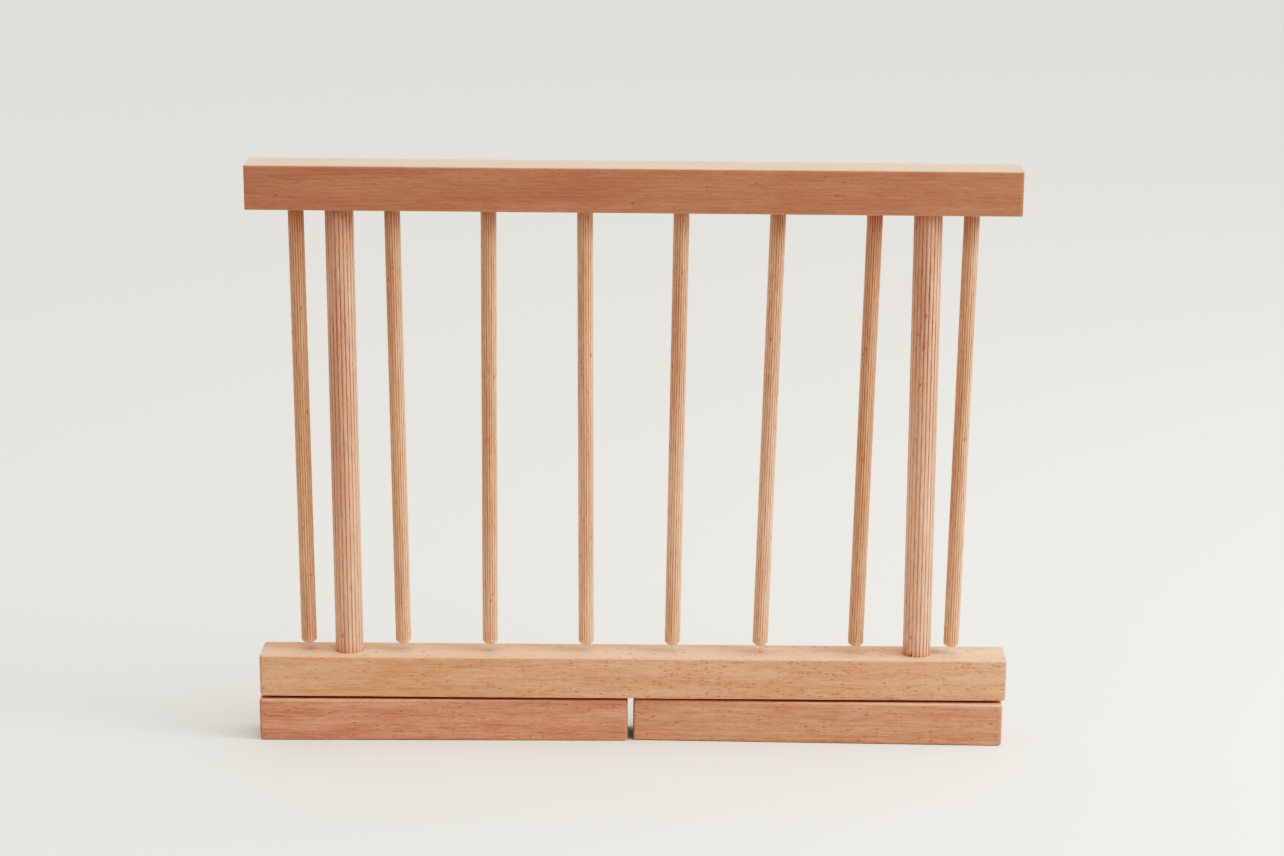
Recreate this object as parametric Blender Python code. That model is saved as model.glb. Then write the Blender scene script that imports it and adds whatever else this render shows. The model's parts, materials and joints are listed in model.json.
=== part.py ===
"""Standing peg frame in beech: a comb of fluted pegs under a top rail, on two posts, a bottom rail
and two swivelling feet.

Metres, +Z up.  X runs along the rails and -Y is the front.  The origin is on the ground, under the
middle of the frame.
"""

from math import cos, pi, radians, sin, tan

import bmesh
import bpy
from mathutils import Matrix

GAP = 0.0003  # left between two pieces that touch
ROUND_SIDES = 32

# Square bar that the rails and feet are cut from
BAR = 0.028
RAIL_LENGTH = 0.480
SHARP_EDGE = 0.0005  # the top rail's edges are only broken
SOFT_EDGE = 0.0015  # the bottom rail's and the feet's edges are rounded over

# Fluted dowel rod: (radius, number of flutes, depth of a flute)
POST_ROD = (0.009, 22, 0.0005)
PEG_ROD = (0.005, 20, 0.0004)
LAND_SHARE = 0.5  # of a flute's pitch that stays round

# Frame
CLEAR_HEIGHT = 0.290  # between the rails, at their middle
TOP_RAIL_TILT = radians(0.23)  # its right end sits slightly low
POST_SPACING = 0.366
POST_CHAMFER = 0.001
PEG_COUNT = 8
PEG_PITCH = RAIL_LENGTH / PEG_COUNT
PEG_LEANS = (0.2, 0.4, -0.4, 0.0, -0.9, -1.6, -1.3, -1.0)  # degrees, tip towards +X, as drilled
PEG_CHAMFER = 0.0016
PEG_TIP_GAP = 0.0055  # under each tip, to the bottom rail
SOCKET_DEPTH = 0.014  # of the blind holes that hold the rods

# Feet: half of a rail each, less the saw cut, turning on a screw through their middle
FOOT_LENGTH = 0.2375
PIVOTS = {"left": -0.1220, "right": 0.1195}
FOOT_TURNS = {"left": radians(0.7), "right": radians(-1.4)}  # as last left, from in line

# Pivot hardware
SHANK_RADIUS = 0.0025
SHANK_LENGTH = 0.045
SCREW_POINT = 0.006
HEAD_RADIUS = 0.0048
HEAD_HEIGHT = 0.0030
HEAD_CHAMFER = 0.0006
SOCKET_ACROSS = 0.0030  # hexagon key, across its flats
SOCKET_RECESS = 0.0018
HOLE_RADIUS = 0.0029  # clears the shank
HEAD_WASHER = (0.0062, 0.0010)  # radius, thickness
SPACER_WASHER = (0.0075, 0.0008)
COUNTERBORE_RADIUS = 0.0070
COUNTERBORE_DEPTH = 0.0062

# Heights that follow
RAIL_UNDERSIDE = BAR + SPACER_WASHER[1] + 2 * GAP
RAIL_TOP = RAIL_UNDERSIDE + BAR
TOP_RAIL_UNDERSIDE = RAIL_TOP + CLEAR_HEIGHT
HEAD_WASHER_TOP = COUNTERBORE_DEPTH - GAP
HEAD_TOP = HEAD_WASHER_TOP - HEAD_WASHER[1] - GAP

# Colour, roughness and metallic value
TOP_RAIL_BEECH = ((0.50, 0.26, 0.14), 0.6, 0.0)
BOTTOM_RAIL_BEECH = ((0.66, 0.41, 0.23), 0.6, 0.0)
FOOT_BEECH = ((0.58, 0.33, 0.19), 0.6, 0.0)
ROD_BEECH = ((0.62, 0.37, 0.21), 0.65, 0.0)
ZINC = ((0.62, 0.62, 0.60), 0.35, 1.0)


def clear_scene():
    for obj in list(bpy.data.objects):
        bpy.data.objects.remove(obj, do_unlink=True)


def add_object(name, mesh_builder, finish, matrix=None):
    """Turn a finished bmesh into an object with its own Principled material."""
    mesh = bpy.data.meshes.new(name)
    bmesh.ops.recalc_face_normals(mesh_builder, faces=mesh_builder.faces)
    mesh_builder.to_mesh(mesh)
    mesh_builder.free()
    mesh.shade_smooth()
    mesh.set_sharp_from_angle(angle=radians(30))
    colour, roughness, metallic = finish
    material = bpy.data.materials.new(name)
    material.use_nodes = True
    shader = material.node_tree.nodes["Principled BSDF"]
    shader.inputs["Base Color"].default_value = (*colour, 1.0)
    shader.inputs["Roughness"].default_value = roughness
    shader.inputs["Metallic"].default_value = metallic
    mesh.materials.append(material)
    obj = bpy.data.objects.new(name, mesh)
    obj.matrix_world = matrix or Matrix.Identity(4)
    bpy.context.collection.objects.link(obj)
    return obj


def drill(obj, holes):
    """Cut round holes: each is (matrix, radius, from, to), along the matrix's own Z axis."""
    drills = bmesh.new()
    for matrix, radius, start, end in holes:
        middle = Matrix.Translation((0, 0, (start + end) / 2))
        bmesh.ops.create_cone(drills, cap_ends=True, segments=ROUND_SIDES, radius1=radius,
                              radius2=radius, depth=end - start, matrix=matrix @ middle)
    cut_away(obj, drills)


def cut_away(obj, tool):
    """Subtract a bmesh, given in world space, with a live Boolean and a hidden cutter."""
    mesh = bpy.data.meshes.new(obj.name + "_cutter")
    tool.to_mesh(mesh)
    tool.free()
    cutter = bpy.data.objects.new(mesh.name, mesh)
    cutter.hide_render = True
    cutter.display_type = "WIRE"
    bpy.context.collection.objects.link(cutter)
    boolean = obj.modifiers.new("cut", "BOOLEAN")
    boolean.operation = "DIFFERENCE"
    boolean.solver = "EXACT"
    boolean.object = cutter


def square_bar(name, length, edge, edge_steps, finish, matrix):
    """A bar along X, its middle over the matrix's origin and its underside on it."""
    bar = bmesh.new()
    bmesh.ops.create_cube(bar, size=1)
    bmesh.ops.scale(bar, vec=(length, BAR, BAR), verts=bar.verts)
    bmesh.ops.translate(bar, vec=(0, 0, BAR / 2), verts=bar.verts)
    bmesh.ops.bevel(bar, geom=list(bar.edges), offset=edge, segments=edge_steps, profile=0.5,
                    affect="EDGES")
    return add_object(name, bar, finish, matrix)


def fluted_ring(rod, scale):
    """One fluted cross-section: per flute two corners of a round land, then the groove's bottom."""
    radius, flutes, depth = rod
    pitch = 2 * pi / flutes
    half_land = pitch * LAND_SHARE / 2
    points = []
    for flute in range(flutes):
        middle = flute * pitch
        for turn, reach in ((-half_land, radius), (half_land, radius), (pitch / 2, radius - depth)):
            angle = middle + turn
            points.append((scale * reach * cos(angle), scale * reach * sin(angle)))
    return points


def fluted_rod(name, rod, bottom, top, chamfers, matrix):
    """A fluted rod along the matrix's Z axis; chamfers are those of its bottom and top ends."""
    radius = rod[0]
    sections = [(bottom, 1 - chamfers[0] / radius), (bottom + chamfers[0], 1),
                (top - chamfers[1], 1), (top, 1 - chamfers[1] / radius)]
    body = bmesh.new()
    rings = []
    for height, scale in sections:
        rings.append([body.verts.new((x, y, height)) for x, y in fluted_ring(rod, scale)])
    for lower, upper in zip(rings, rings[1:]):
        for side in range(len(lower)):
            body.faces.new((lower[side - 1], lower[side], upper[side], upper[side - 1]))
    body.faces.new(rings[0])
    body.faces.new(rings[-1])
    return add_object(name, body, ROD_BEECH, matrix)


def turned(name, outline, matrix):
    """A zinc piece turned about Z from a closed outline of (radius, height) points."""
    body = bmesh.new()
    verts = [body.verts.new((radius, 0, height)) for radius, height in outline]
    edges = [body.edges.new((verts[i - 1], verts[i])) for i in range(len(verts))
             if outline[i - 1][0] or outline[i][0]]
    bmesh.ops.spin(body, geom=edges, axis=(0, 0, 1), cent=(0, 0, 0), angle=2 * pi,
                   steps=ROUND_SIDES, use_duplicate=False)
    bmesh.ops.remove_doubles(body, verts=body.verts, dist=1e-6)
    return add_object(name, body, ZINC, matrix)


def underside_at(x):
    """Height of the tilted top rail's underside above the point x."""
    return TOP_RAIL_UNDERSIDE - x * tan(TOP_RAIL_TILT)


def peg_matrix(index):
    """Where peg number index (from 0, left) leaves the top rail, Z along the leaning peg."""
    x = (index - (PEG_COUNT - 1) / 2) * PEG_PITCH
    lean = Matrix.Rotation(-radians(PEG_LEANS[index]), 4, "Y")
    return Matrix.Translation((x, 0, underside_at(x))) @ lean


def post_xs():
    return {"left": -POST_SPACING / 2, "right": POST_SPACING / 2}


def build_top_rail():
    place = Matrix.Translation((0, 0, TOP_RAIL_UNDERSIDE)) @ Matrix.Rotation(TOP_RAIL_TILT, 4, "Y")
    rail = square_bar("top_rail", RAIL_LENGTH, SHARP_EDGE, 1, TOP_RAIL_BEECH, place)
    below = -0.004
    holes = [(peg_matrix(index), PEG_ROD[0] + GAP, below, SOCKET_DEPTH)
             for index in range(PEG_COUNT)]
    holes += [(Matrix.Translation((x, 0, underside_at(x))), POST_ROD[0] + GAP, below, SOCKET_DEPTH)
              for x in post_xs().values()]
    drill(rail, holes)


def build_bottom_rail():
    rail = square_bar("bottom_rail", RAIL_LENGTH, SOFT_EDGE, 3, BOTTOM_RAIL_BEECH,
                      Matrix.Translation((0, 0, RAIL_UNDERSIDE)))
    overrun = 0.004
    holes = [(Matrix.Translation((x, 0, RAIL_TOP)), POST_ROD[0] + GAP, -SOCKET_DEPTH, overrun)
             for x in post_xs().values()]
    screw_end = HEAD_TOP + SHANK_LENGTH + 2 * GAP
    holes += [(Matrix.Translation((x, 0, 0)), SHANK_RADIUS + GAP, RAIL_UNDERSIDE - overrun,
               screw_end) for x in PIVOTS.values()]
    drill(rail, holes)


def build_posts():
    inside = SOCKET_DEPTH - GAP
    for side, x in post_xs().items():
        fluted_rod(side + "_post", POST_ROD, RAIL_TOP - inside, underside_at(x) + inside,
                   (POST_CHAMFER, POST_CHAMFER), Matrix.Translation((x, 0, 0)))


def build_pegs():
    for index in range(PEG_COUNT):
        place = peg_matrix(index)
        lean = radians(PEG_LEANS[index])
        hanging = (place.translation.z - RAIL_TOP - PEG_TIP_GAP) / cos(lean)
        fluted_rod(f"peg_{index + 1}", PEG_ROD, -hanging, SOCKET_DEPTH - GAP,
                   (PEG_CHAMFER, POST_CHAMFER), place)


def build_feet():
    for side, x in PIVOTS.items():
        on_pivot = Matrix.Translation((x, 0, 0))
        turned_foot = on_pivot @ Matrix.Rotation(FOOT_TURNS[side], 4, "Z")
        foot = square_bar(side + "_foot", FOOT_LENGTH, SOFT_EDGE, 3, FOOT_BEECH, turned_foot)
        overrun = 0.004
        drill(foot, [(on_pivot, HOLE_RADIUS, COUNTERBORE_DEPTH / 2, BAR + overrun)])
        drill(foot, [(on_pivot, COUNTERBORE_RADIUS, -overrun, COUNTERBORE_DEPTH)])


def ring_outline(radius, low, high):
    return [(HOLE_RADIUS, low), (radius, low), (radius, high), (HOLE_RADIUS, high)]


def build_pivot_hardware():
    head_face = HEAD_TOP - HEAD_HEIGHT
    point = HEAD_TOP + SHANK_LENGTH
    screw = [(0, head_face), (HEAD_RADIUS - HEAD_CHAMFER, head_face),
             (HEAD_RADIUS, head_face + HEAD_CHAMFER), (HEAD_RADIUS, HEAD_TOP),
             (SHANK_RADIUS, HEAD_TOP), (SHANK_RADIUS, point - SCREW_POINT), (0, point)]
    for side, x in PIVOTS.items():
        on_pivot = Matrix.Translation((x, 0, 0))
        body = turned(side + "_pivot_screw", screw, on_pivot)
        key = bmesh.new()
        middle = on_pivot @ Matrix.Translation((0, 0, head_face))
        across_corners = SOCKET_ACROSS / cos(pi / 6)
        bmesh.ops.create_cone(key, cap_ends=True, segments=6, radius1=across_corners / 2,
                              radius2=across_corners / 2, depth=2 * SOCKET_RECESS, matrix=middle)
        cut_away(body, key)
        radius, thickness = HEAD_WASHER
        turned(side + "_head_washer",
               ring_outline(radius, HEAD_WASHER_TOP - thickness, HEAD_WASHER_TOP), on_pivot)
        radius, thickness = SPACER_WASHER
        turned(side + "_spacer_washer",
               ring_outline(radius, BAR + GAP, BAR + GAP + thickness), on_pivot)


clear_scene()
build_bottom_rail()
build_posts()
build_top_rail()
build_pegs()
build_feet()
build_pivot_hardware()
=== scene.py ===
import json
from math import asin, atan2, ceil, cos, pi, radians, sin, tan

import bmesh
import bpy
import numpy as np
from mathutils import Matrix, Vector


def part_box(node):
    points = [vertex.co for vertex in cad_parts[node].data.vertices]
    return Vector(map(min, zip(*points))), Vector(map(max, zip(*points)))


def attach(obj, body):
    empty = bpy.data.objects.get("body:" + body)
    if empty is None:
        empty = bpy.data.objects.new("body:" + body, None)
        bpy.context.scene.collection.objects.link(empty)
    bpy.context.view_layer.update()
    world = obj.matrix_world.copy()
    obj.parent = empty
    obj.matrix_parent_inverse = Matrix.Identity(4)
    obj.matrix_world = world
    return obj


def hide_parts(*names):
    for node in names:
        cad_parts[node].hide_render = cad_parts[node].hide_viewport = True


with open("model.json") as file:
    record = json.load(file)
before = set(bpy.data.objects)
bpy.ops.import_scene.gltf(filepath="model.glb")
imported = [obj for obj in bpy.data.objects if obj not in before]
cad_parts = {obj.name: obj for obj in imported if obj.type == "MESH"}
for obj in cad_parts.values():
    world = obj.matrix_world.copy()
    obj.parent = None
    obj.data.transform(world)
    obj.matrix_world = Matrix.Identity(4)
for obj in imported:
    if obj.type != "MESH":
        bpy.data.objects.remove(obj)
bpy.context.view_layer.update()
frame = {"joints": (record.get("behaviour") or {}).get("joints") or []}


# ---------------------------------------------------------------------------------------------
# Bottom rail: a square bar of steamed beech, planed and sanded, its long edges rounded over with
# a router and its ends with a sanding block. Two sockets in its top hold the posts, and two
# pilot holes in its underside take the feet's pivot screws.

GRID = 0.002  # spacing of the points on a flat face
CRISP_ANGLE = 40  # degrees; corners over it stay crisp
HOLE_MOUTH = 0.0002  # the broken edge of a drilled hole
BOARD_SPACING = 0.61  # along the trunk, from one piece's timber to the next one's
WEAR_AND_HIGHLIGHT_WIDTH = 0.0012  # how far the paler edge, wear with a painted highlight, fades into the face


def stretches(breaks, pitch):
    """Places along a line: every stretch between two breaks in equal steps no longer than pitch."""
    counts = [max(1, ceil((b - a) / pitch - 1e-6)) for a, b in zip(breaks, breaks[1:])]
    pieces = [np.linspace(a, b, n, endpoint=False)
              for a, b, n in zip(breaks, breaks[1:], counts)]
    return np.concatenate(pieces + [[breaks[-1]]])


def ripple(along, seed, lengths):
    """A smooth unevenness between about -1 and 1: sines of the given wavelengths, each of
    them started at a random point."""
    start = np.random.default_rng(seed).uniform(0, 2 * pi, len(lengths))
    waves = [np.sin(2 * pi * along / length + s) for length, s in zip(lengths, start)]
    return sum(waves) / len(lengths) ** 0.5


def grid_faces(rows, columns):
    """Quads between neighbouring rows and columns of points numbered row by row. The last
    column joins the first."""
    index = np.arange(rows * columns).reshape(rows, columns)
    beside = np.roll(index, -1, 1)
    return np.stack([index[:-1], beside[:-1], beside[1:], index[1:]], -1).reshape(-1, 4)


def weld(name, points, quads, place):
    """One closed mesh of all the patches: shared points are merged, faces turned outwards, and
    the result is moved to its place. Returns the object and its points before the move."""
    mesh = bpy.data.meshes.new(name)
    mesh.from_pydata(points, [], quads.tolist())
    skin = bmesh.new()
    skin.from_mesh(mesh)
    bmesh.ops.remove_doubles(skin, verts=skin.verts, dist=1e-6)
    bmesh.ops.recalc_face_normals(skin, faces=skin.faces)
    skin.to_mesh(mesh)
    skin.free()
    mesh.shade_smooth()
    mesh.set_sharp_from_angle(angle=radians(CRISP_ANGLE))
    piece = bpy.data.objects.new(name, mesh)
    bpy.context.scene.collection.objects.link(piece)
    local = np.empty(len(mesh.vertices) * 3)
    mesh.vertices.foreach_get("co", local)
    mesh.transform(place)
    return piece, local.reshape(-1, 3)


def give_attribute(piece, name, values):
    """Store one number, or one vector, for every point of the mesh."""
    flat = np.asarray(values, dtype=np.float32)
    kind, key = ("FLOAT_VECTOR", "vector") if flat.ndim == 2 else ("FLOAT", "value")
    piece.data.attributes.new(name, kind, "POINT").data.foreach_set(key, flat.ravel())


def blind_hole(radius, depth):
    """The outline of a drilled hole, (radius, depth) from its broken mouth in to its cone's tip."""
    return [(radius + HOLE_MOUTH, 0), (radius, HOLE_MOUTH), (radius, depth / 2), (radius, depth),
            (radius * 0.6, depth + radius * 0.1), (0, depth + radius * 0.25)]


def bored_patch(border, face_z, centre, outline, lean):
    """A hole in a flat face. Rings of points run in equal steps from the square border to the
    mouth's circle and then follow the outline. The hole's axis moves sideways by lean times
    the depth."""
    out = border - centre
    circle = (out / np.linalg.norm(out, axis=1)[:, None])[None]
    radius, depth = np.array(outline).T
    share = np.linspace(0, 1, 5)[:-1, None, None]
    flat = (1 - share) * out + share * circle * radius[0]
    wall = radius[:, None, None] * circle + depth[:, None, None] * np.array([lean, 0])
    rings = np.concatenate([flat, wall]) + centre
    depth = np.concatenate([np.zeros(len(share)), depth])
    height = np.broadcast_to((face_z - np.sign(face_z) * depth)[:, None, None],
                             rings.shape[:2] + (1,))
    points = np.concatenate([rings, height], 2)
    return points.reshape(-1, 3), grid_faces(len(depth), len(border))


def square_bar(name, length, side, edge, softness, holes, place, seed):
    """A square bar along X, centred on the origin. Its section, four flats joined by rounded
    corners, is carried along X; at each end it shrinks over a quarter circle and then closes to
    the middle of the end face. A corner's arc is (cos a, sin a) to a power that wanders around
    softness along the bar, as hand sanding leaves it: 1 is round, 2 a flat chamfer.
    A hole is (x, half of its square border, outline, lean, +1 in the top or -1 in the
    underside)."""
    half, flat = side / 2, side / 2 - edge
    halves = sorted({h[1] for h in holes})
    across = stretches([-flat] + [-h for h in halves[::-1]] + halves + [flat], GRID)
    borders = {(h[0] - h[1], h[0] + h[1]) for h in holes}
    breaks = [edge - length / 2, *sum(sorted(borders), ()), length / 2 - edge]
    body = stretches(breaks, GRID)

    round_over = np.linspace(0, pi / 2, 7)[1:]
    close = np.linspace(0, 1, 6)[1:]
    end_x = np.concatenate([length / 2 - edge + edge * np.sin(round_over),
                            np.full(len(close), length / 2)])
    rim = (half - edge * (1 - np.cos(round_over))) / half
    end_scale = np.concatenate([rim, rim[-1] * (1 - close)])
    x = np.concatenate([-end_x[::-1], body, end_x])
    scale = np.concatenate([end_scale[::-1], np.ones(len(body)), end_scale])

    bend = np.linspace(0, pi / 2, 9)[1:-1]
    sides = []
    for turn in range(4):
        power = softness * (1 + 0.12 * ripple(x, seed + turn, (0.21, 0.083, 0.031)))[:, None]
        sweep = np.stack([flat + edge * np.sin(bend) ** power,
                          flat + edge * np.cos(bend) ** power])
        run = np.stack([np.tile(across, (len(x), 1)), np.full((len(x), len(across)), half)])
        y, z = np.concatenate([run, sweep], 2)
        for _ in range(turn):
            y, z = z, -y
        sides.append(np.stack([y, z]))
    y, z = np.concatenate(sides, 2) * scale[None, :, None]
    rows, columns = y.shape
    points = np.stack([np.broadcast_to(x[:, None], y.shape), y, z], -1).reshape(-1, 3)
    quads = grid_faces(rows, columns)

    middles = points[quads].mean(1)
    patches = []
    for hole_x, border, outline, lean, facing in holes:
        inside = ((abs(middles[:, 0] - hole_x) < border) & (abs(middles[:, 1]) < border)
                  & (middles[:, 2] * facing > half - 1e-6))
        quads, middles = quads[~inside], middles[~inside]
        xs = body[(body > hole_x - border - 1e-9) & (body < hole_x + border + 1e-9)]
        ys = across[abs(across) < border + 1e-9]
        border_loop = np.concatenate([
            np.stack([xs[:-1], np.full(len(xs) - 1, ys[0])], 1),
            np.stack([np.full(len(ys) - 1, xs[-1]), ys[:-1]], 1),
            np.stack([xs[:0:-1], np.full(len(xs) - 1, ys[-1])], 1),
            np.stack([np.full(len(ys) - 1, xs[0]), ys[:0:-1]], 1)])
        centre = np.array([hole_x, 0])
        patches.append(bored_patch(border_loop, half * facing, centre, outline, lean))
    for patch, patch_quads in patches:
        quads = np.concatenate([quads, patch_quads + len(points)])
        points = np.concatenate([points, patch])

    piece, local = weld(name, points, quads, place)
    gaps = np.array([length / 2, half, half]) - abs(local)
    nearness = np.sort(gaps, axis=1)[:, 1]
    # arris marks the edges, which the material makes paler: wear, and a painted highlight.
    give_attribute(piece, "arris", np.exp(-np.maximum(nearness - edge * 0.3, 0) / WEAR_AND_HIGHLIGHT_WIDTH))
    give_attribute(piece, "end_grain", np.clip((edge - gaps[:, 0]) / edge, 0, 1)
                   * (gaps[:, 0] < gaps[:, 1:].min(1) + edge))
    give_attribute(piece, "timber", local + [BOARD_SPACING * seed, 0, 0])
    return piece


def node(tree, kind, settings=None, **inputs):
    """Add one shader node. settings are its own properties. Each input is a value, or the
    output socket that feeds it; the name is the socket's, with _ for a space, or in0, in1..."""
    made = tree.nodes.new(kind)
    for key, value in (settings or {}).items():
        setattr(made, key, value)
    for key, value in inputs.items():
        numbered = key[:2] == "in" and key[2:].isdigit()
        socket = made.inputs[int(key[2:]) if numbered else key.replace("_", " ")]
        if isinstance(value, bpy.types.NodeSocket):
            tree.links.new(value, socket)
        else:
            socket.default_value = value
    return made


def maths(tree, operation, *values, clamp=False):
    """One Math node; its result."""
    sockets = {f"in{i}": value for i, value in enumerate(values)}
    settings = {"operation": operation, "use_clamp": clamp}
    return node(tree, "ShaderNodeMath", settings, **sockets).outputs[0]


def spread(tree, value, low, high, to_low=0.0, to_high=1.0):
    """Map low..high smoothly to to_low..to_high, and hold outside it."""
    return node(tree, "ShaderNodeMapRange", {"interpolation_type": "SMOOTHSTEP"}, Value=value,
                From_Min=low, From_Max=high, To_Min=to_low, To_Max=to_high).outputs[0]


def stretched_noise(tree, place, scale, detail=2.0, roughness=0.5):
    """Noise whose cells are 1 / scale metres long in each direction."""
    scaled = node(tree, "ShaderNodeVectorMath", {"operation": "MULTIPLY"}, in0=place, in1=scale)
    return node(tree, "ShaderNodeTexNoise", Vector=scaled.outputs[0], Scale=1.0, Detail=detail,
                Roughness=roughness).outputs["Fac"]


def new_group(name, inputs, outputs):
    """An empty shader group with named sockets. Returns its tree and its inputs' sockets."""
    tree = bpy.data.node_groups.new(name, "ShaderNodeTree")
    kinds = {"number": "NodeSocketFloat", "vector": "NodeSocketVector",
             "colour": "NodeSocketColor"}
    for direction, sockets in (("INPUT", inputs), ("OUTPUT", outputs)):
        for socket, kind in sockets:
            tree.interface.new_socket(name=socket, in_out=direction, socket_type=kinds[kind])
    return tree, tree.nodes.new("NodeGroupInput").outputs


def close_group(tree, **outputs):
    """Wire the finished values to the group's outputs."""
    end = tree.nodes.new("NodeGroupOutput")
    for key, value in outputs.items():
        tree.links.new(value, end.inputs[key.replace("_", " ")])


def mixed(tree, share, first, second, blend="MIX"):
    """Blend two colours by share."""
    settings = {"data_type": "RGBA", "blend_type": blend}
    return node(tree, "ShaderNodeMix", settings, in0=share, in6=first, in7=second).outputs[2]


# Beech as it grew: X runs along the trunk, and the rings are round the pith, a line along X.
# Late wood darkens each ring's outer side, rays stand out as short dark flecks where the face
# follows the rings and as wide flakes where it cuts across them, and pores draw fine hairlines.
# Board Tone makes one piece paler (above nought) or redder (below it) than its neighbours.
beech_figure, given = new_group(
    "Beech figure",
    [("Timber", "vector"), ("Pith", "vector"), ("Ring Width", "number"), ("Pale", "colour"),
     ("Deep", "colour"), ("Fleck", "colour"), ("Flecks", "number"), ("Ray Size", "vector"),
     ("Streaks", "number"), ("Board Tone", "number")],
    [("Color", "colour"), ("Height", "number"), ("Rings", "number")])
wander = stretched_noise(beech_figure, given["Timber"], (5, 34, 34), 2.0)
sway = maths(beech_figure, "MULTIPLY", maths(beech_figure, "SUBTRACT", wander, 0.5), 0.009)
from_pith = node(beech_figure, "ShaderNodeVectorMath", {"operation": "SUBTRACT"},
                 in0=given["Timber"], in1=given["Pith"]).outputs[0]
parts = node(beech_figure, "ShaderNodeSeparateXYZ", in0=from_pith).outputs
across = node(beech_figure, "ShaderNodeCombineXYZ", in1=parts[1], in2=parts[2]).outputs[0]
reach = node(beech_figure, "ShaderNodeVectorMath", {"operation": "LENGTH"},
             in0=across).outputs["Value"]
reach = maths(beech_figure, "ADD", reach, sway)
turn = maths(beech_figure, "ARCTAN2", parts[2], parts[1])
ring = maths(beech_figure, "FRACT", maths(beech_figure, "DIVIDE", reach, given["Ring Width"]))
late_wood = maths(beech_figure, "MULTIPLY", spread(beech_figure, ring, 0.35, 0.93),
                  spread(beech_figure, ring, 0.93, 1.0, 1.0, 0.0))
around = maths(beech_figure, "MULTIPLY", turn,
               node(beech_figure, "ShaderNodeVectorMath", {"operation": "LENGTH"},
                    in0=given["Pith"]).outputs["Value"])
ray_place = node(beech_figure, "ShaderNodeCombineXYZ", in0=parts[0], in1=around, in2=reach)
ray_cells = node(beech_figure, "ShaderNodeVectorMath", {"operation": "DIVIDE"},
                 in0=ray_place.outputs[0], in1=given["Ray Size"])
rays = node(beech_figure, "ShaderNodeTexVoronoi", Vector=ray_cells.outputs[0], Scale=1.0)
ray_chance = node(beech_figure, "ShaderNodeSeparateColor", in0=rays.outputs["Color"]).outputs
patchy = stretched_noise(beech_figure, given["Timber"], (26, 90, 90), 1.0)
enough = maths(beech_figure, "LESS_THAN", ray_chance[0],
               maths(beech_figure, "MULTIPLY", given["Flecks"],
                     spread(beech_figure, patchy, 0.3, 0.7)))
fleck_size = maths(beech_figure, "MULTIPLY_ADD", ray_chance[1], 0.34, 0.24)
from_centre = maths(beech_figure, "DIVIDE", rays.outputs["Distance"], fleck_size)
fleck = maths(beech_figure, "MULTIPLY", enough,
              maths(beech_figure, "SUBTRACT", 1.0, from_centre, clamp=True))
hair = stretched_noise(beech_figure, given["Timber"], (70, 900, 900), 4.0, 0.7)
pore_noise = stretched_noise(beech_figure, given["Timber"], (190, 1500, 1500), 2.0, 0.6)
pores = spread(beech_figure, pore_noise, 0.52, 0.68)
cloud = stretched_noise(beech_figure, given["Timber"], (9, 70, 70), 2.0)
streak = maths(beech_figure, "MULTIPLY_ADD", spread(beech_figure, hair, 0.36, 0.66),
               given["Streaks"], maths(beech_figure, "MULTIPLY", late_wood, 0.17))
depth_of_tone = maths(beech_figure, "ADD", streak,
                      maths(beech_figure, "MULTIPLY", spread(beech_figure, cloud, 0.3, 0.7), 0.34),
                      clamp=True)
toned = mixed(beech_figure, depth_of_tone, given["Pale"], given["Deep"])
board = node(beech_figure, "ShaderNodeVectorMath", {"operation": "MULTIPLY_ADD"},
             in0=given["Board Tone"], in1=(0.08, 0.13, 0.17), in2=(1, 1, 1)).outputs[0]
toned = mixed(beech_figure, 1.0, toned, board, "MULTIPLY")
flecked = mixed(beech_figure, maths(beech_figure, "MULTIPLY", fleck, 0.95, clamp=True), toned,
                given["Fleck"])
porous = mixed(beech_figure, maths(beech_figure, "MULTIPLY", pores, 0.30), flecked,
               given["Fleck"])
relief = maths(beech_figure, "MULTIPLY_ADD", hair, 0.55,
               maths(beech_figure, "MULTIPLY", maths(beech_figure, "ADD", pores, fleck), -0.35))
close_group(beech_figure, Color=porous, Height=relief, Rings=late_wood)

# Edges, ends and flutes: an arris is paler and smoother, partly from the burnish of sanding and
# handling, partly as a painted highlight along the edge. A flute's bottom is darker, here more
# and there less, partly as fibres crushed by the die and dust held there, partly as painted shade
# in the groove. An end face drinks more finish, so it is deeper in tone, with its rings and, as
# dots, its pores.
beech_cuts, given = new_group(
    "Beech edges and ends",
    [("Color", "colour"), ("Timber", "vector"), ("Rings", "number"), ("Arris", "number"),
     ("End Grain", "number"), ("Hollow", "number"), ("Worn", "number"), ("Edge Tone", "colour"),
     ("End Tone", "colour"), ("Hollow Tone", "colour")],
    [("Color", "colour"), ("Wear", "number"), ("Roughness Change", "number")])
nicks = stretched_noise(beech_cuts, given["Timber"], (70, 420, 420), 3.0, 0.6)
# The paler arris: wear from sanding and handling, and a painted highlight along the edge.
wear_and_highlight = maths(beech_cuts, "MULTIPLY", given["Worn"],
             spread(beech_cuts, maths(beech_cuts, "MULTIPLY_ADD", nicks, 0.5, given["Arris"]),
                    0.55, 1.15))
ragged = stretched_noise(beech_cuts, given["Timber"], (45, 700, 700), 3.0, 0.6)
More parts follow.
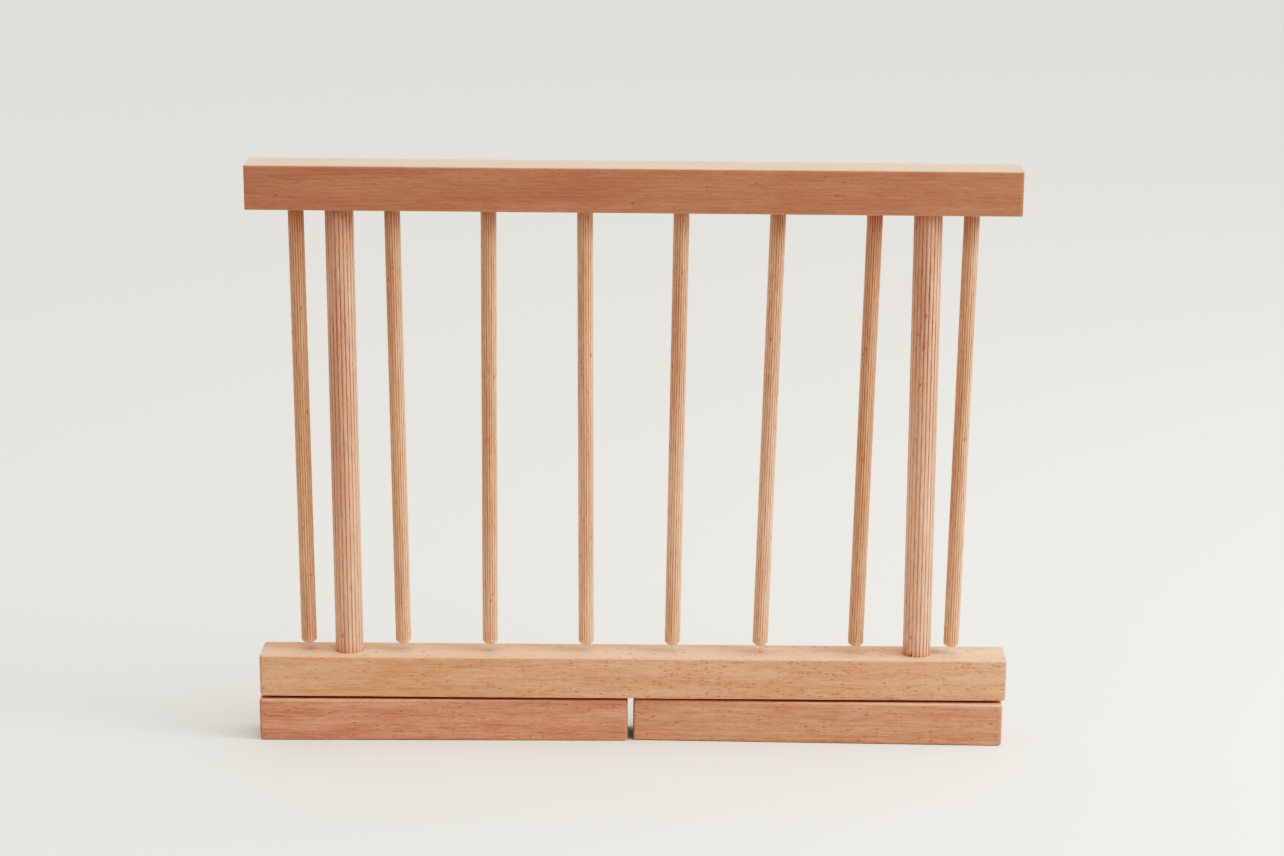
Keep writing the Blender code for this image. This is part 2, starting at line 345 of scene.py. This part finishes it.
# The darker flute bottoms: crushed fibres and dust, and painted shade in the groove.
crushed_and_shaded = maths(beech_cuts, "MULTIPLY", given["Hollow"],
                spread(beech_cuts, ragged, 0.3, 0.65, 0.6, 1.0))
groove_dust_and_shade = mixed(beech_cuts, crushed_and_shaded, given["Color"],
                mixed(beech_cuts, 1.0, given["Color"], given["Hollow Tone"], "MULTIPLY"))
edged = mixed(beech_cuts, wear_and_highlight, groove_dust_and_shade, given["Edge Tone"])
end_dots = stretched_noise(beech_cuts, given["Timber"], (300, 1500, 1500), 2.0)
end_depth = maths(beech_cuts, "MULTIPLY_ADD", given["Rings"], 0.6,
                  maths(beech_cuts, "MULTIPLY", spread(beech_cuts, end_dots, 0.35, 0.65), 0.4))
end_shade = mixed(beech_cuts, end_depth, (1.12, 1.12, 1.12, 1), (0.72, 0.66, 0.62, 1))
end_face = mixed(beech_cuts, 1.0, given["End Tone"], end_shade, "MULTIPLY")
ended = mixed(beech_cuts, maths(beech_cuts, "MULTIPLY", given["End Grain"], 0.9), edged, end_face)
rougher = maths(beech_cuts, "SUBTRACT", maths(beech_cuts, "MULTIPLY", given["End Grain"], 0.12),
                maths(beech_cuts, "MULTIPLY", wear_and_highlight, 0.10))
close_group(beech_cuts, Color=ended, Wear=wear_and_highlight, Roughness_Change=rougher)

# Handling: a finger-sized mottle in the sheen of the thin oil finish.
handling, given = new_group(
    "Handling",
    [("Timber", "vector"), ("Dull", "number"), ("Glossy", "number"), ("Change", "number")],
    [("Roughness", "number")])
mottle = stretched_noise(handling, given["Timber"], (22, 60, 60), 3.0, 0.55)
sheen = node(handling, "ShaderNodeMapRange", Value=mottle, From_Min=0.3, From_Max=0.7,
             To_Min=given["Glossy"], To_Max=given["Dull"]).outputs[0]
close_group(handling, Roughness=maths(handling, "ADD", sheen, given["Change"], clamp=True))


RING_WIDTH = 0.0024
SHEEN_ROUGHNESS = 0.35


def stored(tree, name, kind="Fac"):
    """What give_attribute stored under this name, or nought on a piece without it."""
    return node(tree, "ShaderNodeAttribute", {"attribute_name": name}).outputs[kind]


def beech(name, pale, deep, fleck, edge_tone, end_tone, pith=(0, 0.08, 0.02), flecks=0.3,
          ray_size=(0.0038, 0.0010, 0.005), streaks=0.42, worn=0.5, gloss=(0.58, 0.44),
          relief=0.00012, specular=0.5, sheen=0.8, sheen_tint=(1, 0.98, 0.88),
          hollow_tone=(1, 1, 1)):
    """A beech board's material. Colours are linear; pith is where the tree's middle lay from the
    piece's own middle, ray_size the room that each ray has along, around and out of the trunk.
    flecks is the share of rays that show, or (x, x, share, share) where it changes smoothly
    along the piece. gloss is the roughness of (dull, glossy) places, relief the height of the
    grain. The sheen stands for the pale bloom that fine fibres give a face seen aslant."""
    material = bpy.data.materials.new(name)
    material.use_nodes = True
    tree = material.node_tree
    shader = tree.nodes["Principled BSDF"]
    timber = stored(tree, "timber", "Vector")
    arris = stored(tree, "arris")
    end_grain = stored(tree, "end_grain")
    hollow = stored(tree, "hollow")
    tone = stored(tree, "tone")
    if isinstance(flecks, tuple):
        along = node(tree, "ShaderNodeSeparateXYZ", in0=timber).outputs[0]
        flecks = spread(tree, along, *flecks)
    figure = node(tree, "ShaderNodeGroup", {"node_tree": beech_figure}, Timber=timber, Pith=pith,
                  Ring_Width=RING_WIDTH, Pale=(*pale, 1), Deep=(*deep, 1), Fleck=(*fleck, 1),
                  Flecks=flecks, Ray_Size=ray_size, Streaks=streaks, Board_Tone=tone)
    cuts = node(tree, "ShaderNodeGroup", {"node_tree": beech_cuts}, Color=figure.outputs["Color"],
                Timber=timber, Rings=figure.outputs["Rings"], Arris=arris, End_Grain=end_grain,
                Hollow=hollow, Worn=worn, Edge_Tone=(*edge_tone, 1), End_Tone=(*end_tone, 1),
                Hollow_Tone=(*hollow_tone, 1))
    hands = node(tree, "ShaderNodeGroup", {"node_tree": handling}, Timber=timber, Dull=gloss[0],
                 Glossy=gloss[1], Change=cuts.outputs["Roughness Change"])
    bump = node(tree, "ShaderNodeBump", Height=figure.outputs["Height"], Distance=relief,
                Strength=1.0)
    tree.links.new(cuts.outputs["Color"], shader.inputs["Base Color"])
    tree.links.new(hands.outputs["Roughness"], shader.inputs["Roughness"])
    tree.links.new(bump.outputs["Normal"], shader.inputs["Normal"])
    shader.inputs["Specular IOR Level"].default_value = specular
    shader.inputs["Sheen Weight"].default_value = sheen
    shader.inputs["Sheen Roughness"].default_value = SHEEN_ROUGHNESS
    shader.inputs["Sheen Tint"].default_value = (*sheen_tint, 1)
    return material


def box_of(name):
    """A CAD node's middle and its size."""
    low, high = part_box(name)
    return (low + high) / 2, high - low


def finish_piece(piece, material, body, replaced):
    """Give the piece its material, and say what it rides on and stands for."""
    piece.data.materials.append(material)
    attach(piece, body)
    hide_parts(*replaced)


BOTTOM_EDGE = 0.0017
ROUND = 1.0  # softness of a rounded edge
SOCKET_DEPTH = 0.014
POST_BORDER = 0.012  # half of the square that a hole's rings of points fill
SNUG = 0.00006  # around a glued rod
PILOT_BORDER = 0.006
PILOT_RADIUS = 0.0026

rail_middle, rail_size = box_of("bottom_rail")
sides = ("left", "right")
post_x = {side: box_of(side + "_post")[0].x for side in sides}
post_radius = box_of("left_post")[1].y / 2
post_socket = blind_hole(post_radius + SNUG, SOCKET_DEPTH)
rail_holes = [(post_x[side], POST_BORDER, post_socket, 0, 1) for side in sides]
for side in sides:
    screw_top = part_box(side + "_pivot_screw")[1].z
    pilot = blind_hole(PILOT_RADIUS, screw_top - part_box("bottom_rail")[0].z)
    rail_holes.append((box_of(side + "_pivot_screw")[0].x, PILOT_BORDER, pilot, 0, -1))
bottom_rail = square_bar("Bottom_rail", rail_size.x, rail_size.z, BOTTOM_EDGE, ROUND, rail_holes,
                         Matrix.Translation(rail_middle), seed=1)
bottom_beech = beech(
    "Beech, bottom rail", pale=(0.71, 0.395, 0.262), deep=(0.49, 0.228, 0.138),
    fleck=(0.27, 0.11, 0.06), edge_tone=(0.71, 0.41, 0.27), end_tone=(0.37, 0.19, 0.115),
    flecks=(0.38, 0.80, 0.12, 0.75), sheen_tint=(1, 0.96, 0.78))
finish_piece(bottom_rail, bottom_beech, "frame", ["bottom_rail"])


# ---------------------------------------------------------------------------------------------
# Posts: two 18 mm beech dowels, run through a die that presses 22 flutes along them so that
# glue can escape, their ends lightly chamfered and glued into the sockets of both rails.

FLUTE_POINTS = 10  # around each flute
ROD_STEP = 0.0024  # between two rings of points along a rod
TIP_WEAR_AND_HIGHLIGHT = 0.0012  # the paler length at a rod's end, wear with a painted highlight
TIP_FADE = 0.0006


def fluted_rod(name, radius, flutes, groove, length, chamfers, place, seed, tone=0.0):
    """A rod along Z, centred on the origin. Around it, half of every flute's pitch is a round
    land and the other half a groove, a parabola in section whose depth wanders along the rod.
    Each end is cut by a cone, (radius - chamfer) at the very end, through lands and grooves
    alike, and closes to its middle. seed turns the flutes and the grain their own way round, and
    tone is the board's."""
    half = length / 2
    low_cut, high_cut = chamfers
    closing = np.linspace(1, 0, 5)[1:]
    body = np.linspace(low_cut - half, half - high_cut,
                       ceil((length - low_cut - high_cut) / ROD_STEP))
    low_end = np.linspace(-half, low_cut - half, 5)[:-1]
    high_end = np.linspace(half - high_cut, half, 5)[1:]
    z = np.concatenate([np.full(len(closing), -half), low_end, body, high_end,
                        np.full(len(closing), half)])
    full = np.ones(len(low_end) + len(body) + len(high_end))
    fill = np.concatenate([closing[::-1], full, closing])
    step = np.arange(flutes * FLUTE_POINTS)
    phase = (step / FLUTE_POINTS) % 1 - 0.25
    angle = 2 * pi * (step / FLUTE_POINTS) / flutes + seed * 0.37
    hollow = np.clip(1 - ((phase - 0.5) / 0.25) ** 2, 0, 1)
    along = z[:, None] + 0.03 * np.sin(angle * 3 + seed)
    drift = 1 + 0.14 * ripple(along, seed, (0.17, 0.052, 0.019))
    section = radius - groove * hollow * drift
    cone = np.minimum(radius - low_cut + (z + half), radius - high_cut + (half - z))[:, None]
    reach = np.minimum(section, cone) * fill[:, None]
    points = np.stack([reach * np.cos(angle), reach * np.sin(angle),
                       np.broadcast_to(z[:, None], reach.shape)], -1).reshape(-1, 3)
    piece, local = weld(name, points, grid_faces(len(z), len(step)), place)
    out = np.hypot(local[:, 0], local[:, 1])
    board_turn = seed * 2.4
    timber = np.stack([local[:, 2] + BOARD_SPACING * seed,
                       local[:, 0] * cos(board_turn) - local[:, 1] * sin(board_turn),
                       local[:, 0] * sin(board_turn) + local[:, 1] * cos(board_turn)], 1)
    give_attribute(piece, "timber", timber)
    to_end = half - abs(local[:, 2])
    give_attribute(piece, "end_grain", (to_end < 1e-6).astype(float))
    # arris marks the tip's edge, which the material makes paler: wear, and a painted highlight.
    give_attribute(piece, "arris", np.exp(-np.maximum(to_end - TIP_WEAR_AND_HIGHLIGHT, 0) / TIP_FADE)
                   * (to_end > 1e-6))
    # hollow marks the groove bottoms, which the material darkens: crushed fibres and dust, and
    # painted shade.
    give_attribute(piece, "hollow", np.clip((radius - out) / groove, 0, 1) * (to_end > TIP_WEAR_AND_HIGHLIGHT))
    give_attribute(piece, "tone", np.full(len(local), tone))
    return piece


POST_FLUTES = 22
POST_GROOVE = 0.0005
POST_CHAMFER = 0.001

# The hollow colour here darkens the flute bottoms: crushed fibres and dust, and painted shade.
rod_look = {
    "fleck": (0.26, 0.11, 0.06), "edge_tone": (0.76, 0.48, 0.34), "end_tone": (0.44, 0.235, 0.145),
    "flecks": 0.07, "pith": (0, 0.05, 0.0), "ray_size": (0.0040, 0.0009, 0.004), "streaks": 0.34,
    "gloss": (0.50, 0.36), "relief": 0.0002, "specular": 1.0, "hollow_tone": (0.71, 0.61, 0.53)}
post_beech = beech("Beech, posts", pale=(0.81, 0.476, 0.348), deep=(0.505, 0.230, 0.153),
                   sheen=1.0, sheen_tint=(1, 1, 1), **rod_look)
for number, side in enumerate(sides):
    middle, size = box_of(side + "_post")
    post = fluted_rod(side.capitalize() + "_post", post_radius, POST_FLUTES, POST_GROOVE, size.z,
                      (POST_CHAMFER, POST_CHAMFER), Matrix.Translation(middle), seed=3 + number)
    finish_piece(post, post_beech, "frame", [side + "_post"])


# ---------------------------------------------------------------------------------------------
# Top rail: the same square bar from a redder board, its edges only broken with sandpaper. Ten
# sockets along its underside hold the two posts and the eight pegs, and it sits slightly lower
# on the right.

TOP_EDGE = 0.0006
CHAMFERED = 1.2  # softness between a round and a flat edge
PEG_COUNT = 8
PEG_RADIUS = 0.005
PEG_BORDER = 0.008

top_middle, top_size = box_of("top_rail")
tilt = asin((top_size.z - rail_size.z) / rail_size.x)
peg_names = [f"peg_{number + 1}" for number in range(PEG_COUNT)]
peg_pitch = rail_size.x / PEG_COUNT
peg_roots = [(number - (PEG_COUNT - 1) / 2) * peg_pitch for number in range(PEG_COUNT)]
underside = top_middle.z - rail_size.z / 2
peg_leans = []
for root, name in zip(peg_roots, peg_names):
    middle = box_of(name)[0]
    hanging_middle = underside - root * tan(tilt) - middle.z
    peg_leans.append(atan2(middle.x - root, hanging_middle))
top_holes = [(post_x[side], POST_BORDER, post_socket, 0, -1) for side in sides]
peg_socket = blind_hole(PEG_RADIUS + SNUG, SOCKET_DEPTH)
top_holes += [(root, PEG_BORDER, peg_socket, -tan(lean), -1)
              for root, lean in zip(peg_roots, peg_leans)]
top_rail = square_bar("Top_rail", rail_size.x, rail_size.z, TOP_EDGE, CHAMFERED, top_holes,
                      Matrix.Translation(top_middle) @ Matrix.Rotation(tilt, 4, "Y"), seed=2)
top_beech = beech(
    "Beech, top rail", pale=(0.54, 0.270, 0.180), deep=(0.40, 0.170, 0.106),
    fleck=(0.30, 0.12, 0.075), edge_tone=(0.60, 0.33, 0.225), end_tone=(0.29, 0.125, 0.075),
    pith=(0, 0.03, 0.09), flecks=0.04, worn=0.4, sheen=0.95, sheen_tint=(1, 1, 0.80))
finish_piece(top_rail, top_beech, "frame", ["top_rail"])


# ---------------------------------------------------------------------------------------------
# Pegs: eight 10 mm beech dowels with 20 pressed flutes, glued into the top rail and hanging free.
# They were drilled by hand, so each leans a little its own way. The free tips are chamfered.

PEG_FLUTES = 20
PEG_GROOVE = 0.0004
PEG_TIP_CHAMFER = 0.0012
PEG_TONES = (-0.6, -0.1, 0.0, 0.4, 0.5, 1.0, -0.9, -0.3)  # redder below nought, paler above

peg_beech = beech("Beech, pegs", pale=(0.83, 0.495, 0.345), deep=(0.52, 0.24, 0.152), sheen=0.9,
                  **rod_look)
for number, (name, lean) in enumerate(zip(peg_names, peg_leans)):
    middle, size = box_of(name)
    length = (size.z - 2 * (PEG_RADIUS - PEG_TIP_CHAMFER) * abs(sin(lean))) / cos(lean)
    peg = fluted_rod(name.capitalize(), PEG_RADIUS, PEG_FLUTES, PEG_GROOVE, length,
                     (PEG_TIP_CHAMFER, POST_CHAMFER),
                     Matrix.Translation(middle) @ Matrix.Rotation(-lean, 4, "Y"), seed=6 + number,
                     tone=PEG_TONES[number])
    finish_piece(peg, peg_beech, "frame", [name])


# ---------------------------------------------------------------------------------------------
# Feet: a third bar cut in half, rounded over like the bottom rail. Each half turns on a screw
# through its middle, whose head is sunk in a counterbore in the sole.

FOOT_EDGE = 0.0016
SOLE_BORDER = 0.010
COUNTERBORE_RADIUS = 0.0070
COUNTERBORE_DEPTH = 0.0062
SCREW_HOLE_RADIUS = 0.0029
SCREW_HOLE_MOUTH = 0.0003

foot_look = {"fleck": (0.25, 0.10, 0.06), "edge_tone": (0.60, 0.345, 0.24),
             "end_tone": (0.30, 0.13, 0.078), "streaks": 0.5}
foot_beech = {
    "left": beech("Beech, left foot", pale=(0.63, 0.320, 0.226), deep=(0.42, 0.172, 0.110),
                  pith=(0, 0.10, -0.03), flecks=0.25, **foot_look),
    "right": beech("Beech, right foot", pale=(0.63, 0.330, 0.226), deep=(0.42, 0.184, 0.116),
                   pith=(0, 0.07, 0.05), flecks=0.3, **foot_look)}
for number, joint in enumerate(frame["joints"]):
    body = joint["child"]
    side = body.split("_")[0]
    rest_turn = -radians(sum(joint["range_deg"]) / 2)
    middle, size = box_of(body)
    length = (size.x - 2 * (size.z / 2 - FOOT_EDGE) * abs(sin(rest_turn))) / cos(rest_turn)
    mouth = SCREW_HOLE_RADIUS + SCREW_HOLE_MOUTH
    through = [(COUNTERBORE_RADIUS + SCREW_HOLE_MOUTH, 0), (COUNTERBORE_RADIUS, SCREW_HOLE_MOUTH),
               (COUNTERBORE_RADIUS, COUNTERBORE_DEPTH / 2), (COUNTERBORE_RADIUS, COUNTERBORE_DEPTH),
               (SCREW_HOLE_RADIUS, COUNTERBORE_DEPTH), (SCREW_HOLE_RADIUS, size.z / 2),
               (SCREW_HOLE_RADIUS, size.z - SCREW_HOLE_MOUTH), (mouth, size.z)]
    foot_holes = [(0, SOLE_BORDER, through, 0, -1), (0, SOLE_BORDER, [(mouth, 0)], 0, 1)]
    foot = square_bar(side.capitalize() + "_foot", length, size.z, FOOT_EDGE, ROUND, foot_holes,
                      Matrix.Translation(middle) @ Matrix.Rotation(rest_turn, 4, "Z"),
                      seed=14 + number)
    finish_piece(foot, foot_beech[side], body, [body])


# ---------------------------------------------------------------------------------------------
# Pivot hardware: a zinc-plated socket-head wood screw comes up through each foot into the bottom
# rail, with a washer under its head and a thin one between foot and rail, so the foot turns
# stiffly but doesn't rub.

AROUND = 48  # points round a turned piece
RIM = 0.00035  # radius of a rim's rounding
BORE_EDGE = 0.0001
KEY_ACROSS = 0.0030
KEY_DEPTH = 0.0018
KEY_EDGE = 0.0002
HEAD_HEIGHT = 0.0030
FACE_RING = 0.72  # of the head's radius, where its lower face has a ring of points
SHANK_RADIUS = 0.0025
SHANK_FILLET = 0.0003  # where the shank meets the head
PLAIN_SHANK = 0.014  # from the head
THREAD_START = 0.020  # above the head's lower face
THREAD_RUN = 0.003  # over which the thread grows to its full depth
THREAD_PITCH = 0.0022
THREAD_DEPTH = 0.0006
TIP_LENGTH = 0.006


def rounded_rim(radius, low, high):
    """Points round a disc's outer edge, from its lower face to its upper one, as (radius,
    height): a quarter circle, the straight wall, and a quarter circle."""
    arc = np.linspace(0, pi / 2, 5)
    lower = np.stack([radius - RIM + RIM * np.sin(arc), low + RIM - RIM * np.cos(arc)], 1)
    upper = np.stack([lower[::-1, 0], low + high - lower[::-1, 1]], 1)
    return np.concatenate([lower, upper])


def turned(name, node_name, radius, height):
    """Rings of points round Z, carried to the node's axis. radius and height have a row for
    each ring, and a column for each of the AROUND directions or one for them all."""
    middle = box_of(node_name)[0]
    angle = np.arange(AROUND) * 2 * pi / AROUND
    rings = (len(radius), AROUND)
    points = np.stack([radius * np.cos(angle), radius * np.sin(angle),
                       np.broadcast_to(height, rings)], -1).reshape(-1, 3)
    piece, local = weld(name, points, grid_faces(*rings),
                        Matrix.Translation((middle.x, middle.y, 0)))
    give_attribute(piece, "timber", local)
    return piece


def washer(name, node_name):
    """A rounded ring's outline carried once round Z, closed on itself."""
    low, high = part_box(node_name)
    bore = SCREW_HOLE_RADIUS
    outer = rounded_rim((high.x - low.x) / 2, low.z, high.z)
    outline = np.concatenate([outer, [[bore + BORE_EDGE, high.z], [bore, high.z - BORE_EDGE],
                                      [bore, low.z + BORE_EDGE], [bore + BORE_EDGE, low.z]],
                              outer[:1]])
    return turned(name, node_name, outline[:, :1], outline[:, 1:])


def socket_screw(name, node_name):
    """Rings of points up the screw: the key socket's floor and its six-sided wall, whose radius
    is (half across flats) / cos(angle from the nearest flat's middle), the rounded head, the
    plain shank, and the thread, where the radius rises and falls with (height / pitch -
    angle / full turn)."""
    low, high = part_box(node_name)
    head_radius = (high.x - low.x) / 2
    angle = np.arange(AROUND) * 2 * pi / AROUND
    off_flat = (angle + pi / 6) % (pi / 3) - pi / 6
    key = KEY_ACROSS / 2 / np.cos(off_flat)
    rim = rounded_rim(head_radius, low.z, low.z + HEAD_HEIGHT)
    thread_start = low.z + THREAD_START
    turns = np.linspace(thread_start, high.z, ceil((high.z - thread_start) / THREAD_PITCH * 10))
    crest = 2 * abs((turns[:, None] / THREAD_PITCH - angle / (2 * pi)) % 1 - 0.5)
    depth = THREAD_DEPTH * np.minimum(1, (turns - thread_start) / THREAD_RUN)[:, None]
    taper = np.minimum(1, (high.z - turns) / TIP_LENGTH)[:, None]
    thread = (SHANK_RADIUS - depth * (1 - crest ** 3)) * taper
    shank = [SHANK_RADIUS + SHANK_FILLET, SHANK_RADIUS, SHANK_RADIUS]
    shank_z = low.z + HEAD_HEIGHT + np.array([0, SHANK_FILLET, PLAIN_SHANK])
    plain = np.concatenate([rim[:, 0], shank])[:, None]
    radius = np.concatenate([
        np.zeros((1, AROUND)), key[None], key[None], key[None] + KEY_EDGE,
        np.full((1, AROUND), head_radius * FACE_RING),
        np.broadcast_to(plain, (len(plain), AROUND)), thread])
    key_z = low.z + np.array([KEY_DEPTH, KEY_DEPTH, KEY_EDGE, 0, 0])
    height = np.concatenate([key_z, rim[:, 1], shank_z, turns])
    return turned(name, node_name, radius, height[:, None])


zinc = bpy.data.materials.new("Zinc plate")
zinc.use_nodes = True
tree = zinc.node_tree
shader = tree.nodes["Principled BSDF"]
shader.inputs["Metallic"].default_value = 1.0
place = stored(tree, "timber", "Vector")
bloom = stretched_noise(tree, place, (420, 420, 420), 3.0)
scuff = stretched_noise(tree, place, (1600, 1600, 300), 2.0)
plate = mixed(tree, spread(tree, bloom, 0.35, 0.7), (0.56, 0.57, 0.57, 1), (0.68, 0.67, 0.62, 1))
tree.links.new(plate, shader.inputs["Base Color"])
worn_sheen = node(tree, "ShaderNodeGroup", {"node_tree": handling}, Timber=place, Dull=0.42,
                  Glossy=0.27, Change=0.0)
tree.links.new(worn_sheen.outputs["Roughness"], shader.inputs["Roughness"])
zinc_bump = node(tree, "ShaderNodeBump", Height=scuff, Distance=0.00003)
tree.links.new(zinc_bump.outputs["Normal"], shader.inputs["Normal"])

for side in sides:
    label = side.capitalize()
    screw = socket_screw(label + "_pivot_screw", side + "_pivot_screw")
    finish_piece(screw, zinc, "frame", [side + "_pivot_screw"])
    for kind in ("_head_washer", "_spacer_washer"):
        ring_piece = washer(label + kind, side + kind)
        finish_piece(ring_piece, zinc, "frame", [side + kind])


# ---------------------------------------------------------------------------------------------
# Where it stands: a plain pale table top, a broad window high up on the right, a nearer one beside
# the table, and a sky that is brightest overhead. In front of the frame the table passes on less
# light than it shows, as if the room were dim there, so the rods darken towards their tops.

TABLE_HALF = 9
WINDOW_COLOUR = (1.0, 0.985, 0.96)

floor_mesh = bpy.data.meshes.new("Table_top")
corner_signs = ((-1, -1), (1, -1), (1, 1), (-1, 1))
table_corners = [(x * TABLE_HALF, y * TABLE_HALF, 0) for x, y in corner_signs]
floor_mesh.from_pydata(table_corners, [], [(0, 1, 2, 3)])
floor = bpy.data.objects.new("Table_top", floor_mesh)
bpy.context.scene.collection.objects.link(floor)
floor_paint = bpy.data.materials.new("White paint")
floor_paint.use_nodes = True
floor_shader = floor_paint.node_tree.nodes["Principled BSDF"]
floor_shader.inputs["Roughness"].default_value = 0.6
tree = floor_paint.node_tree
on_floor = node(tree, "ShaderNodeTexCoord").outputs["Object"]
toward_front = node(tree, "ShaderNodeSeparateXYZ", in0=on_floor).outputs[1]
table_edge = spread(tree, toward_front, -0.70, -0.25, 0.85, 0.0)
unseen = maths(tree, "SUBTRACT", 1.0, node(tree, "ShaderNodeLightPath").outputs["Is Camera Ray"])
floor_colour = mixed(tree, maths(tree, "MULTIPLY", table_edge, unseen), (0.66, 0.65, 0.60, 1),
                     (0.05, 0.045, 0.04, 1))
tree.links.new(floor_colour, floor_shader.inputs["Base Color"])
floor_mesh.materials.append(floor_paint)

sun = bpy.data.lights.new("Window", "SUN")
sun.energy = 0.86
sun.angle = radians(60)
sun.color = WINDOW_COLOUR
window = bpy.data.objects.new("Window", sun)
window.rotation_euler = Vector((-0.42, 0.10, -0.90)).to_track_quat("-Z", "Y").to_euler()
bpy.context.scene.collection.objects.link(window)
near = bpy.data.lights.new("Near window", "AREA")
near.size = 0.9
near.energy = 30
near.color = WINDOW_COLOUR
near_window = bpy.data.objects.new("Near window", near)
near_window.location = (1.80, -0.32, 1.15)
near_window.rotation_euler = Vector((-1.80, 0.32, -0.95)).to_track_quat("-Z", "Y").to_euler()
bpy.context.scene.collection.objects.link(near_window)
sky = bpy.data.worlds.new("Sky")
sky.use_nodes = True
background = sky.node_tree.nodes["Background"]
background.inputs["Color"].default_value = (1.0, 0.985, 0.955, 1)
upwards = node(sky.node_tree, "ShaderNodeTexCoord").outputs["Generated"]
height = node(sky.node_tree, "ShaderNodeSeparateXYZ", in0=upwards).outputs[2]
brightness = spread(sky.node_tree, height, 0.0, 1.0, 0.32, 1.0)
sky.node_tree.links.new(brightness, background.inputs["Strength"])
bpy.context.scene.world = sky

# The camera's tone curve: dark tones deepen and bright ones roll off.
view = bpy.context.scene.view_settings
view.view_transform = "Standard"
view.use_curve_mapping = True
view.curve_mapping.use_clip = False
view.curve_mapping.extend = "EXTRAPOLATED"
contrast = view.curve_mapping.curves[3]
contrast.points[0].location = (0, 0)
contrast.points[1].location = (1.466, 1.0)
for scene_value, shown in ((0.0486, 0.02), (0.091, 0.06), (0.1352, 0.12), (0.1967, 0.22),
                           (0.2881, 0.36), (0.4165, 0.52), (0.5958, 0.68), (0.86, 0.83),
                           (1.113, 0.92)):
    contrast.points.new(scene_value, shown)
view.curve_mapping.update()

# The camera looks slightly down from a little to the right of the middle.
camera_data = bpy.data.cameras.new("Camera")
camera_data.lens = 85.01
camera_data.sensor_width = 36
camera = bpy.data.objects.new("Camera", camera_data)
pitch, yaw, roll = 0.26788, -0.01402, -0.0023295
ahead = Vector((sin(yaw) * cos(pitch), cos(yaw) * cos(pitch), -sin(pitch)))
level = Vector((cos(yaw), -sin(yaw), 0))
down = ahead.cross(level)
right = cos(roll) * level + sin(roll) * down
down = cos(roll) * down - sin(roll) * level
camera.matrix_world = Matrix.Translation((0.0316, -1.8499, 0.7144)) @ Matrix(
    (right, -down, -ahead)).transposed().to_4x4()
bpy.context.scene.collection.objects.link(camera)
bpy.context.scene.camera = camera
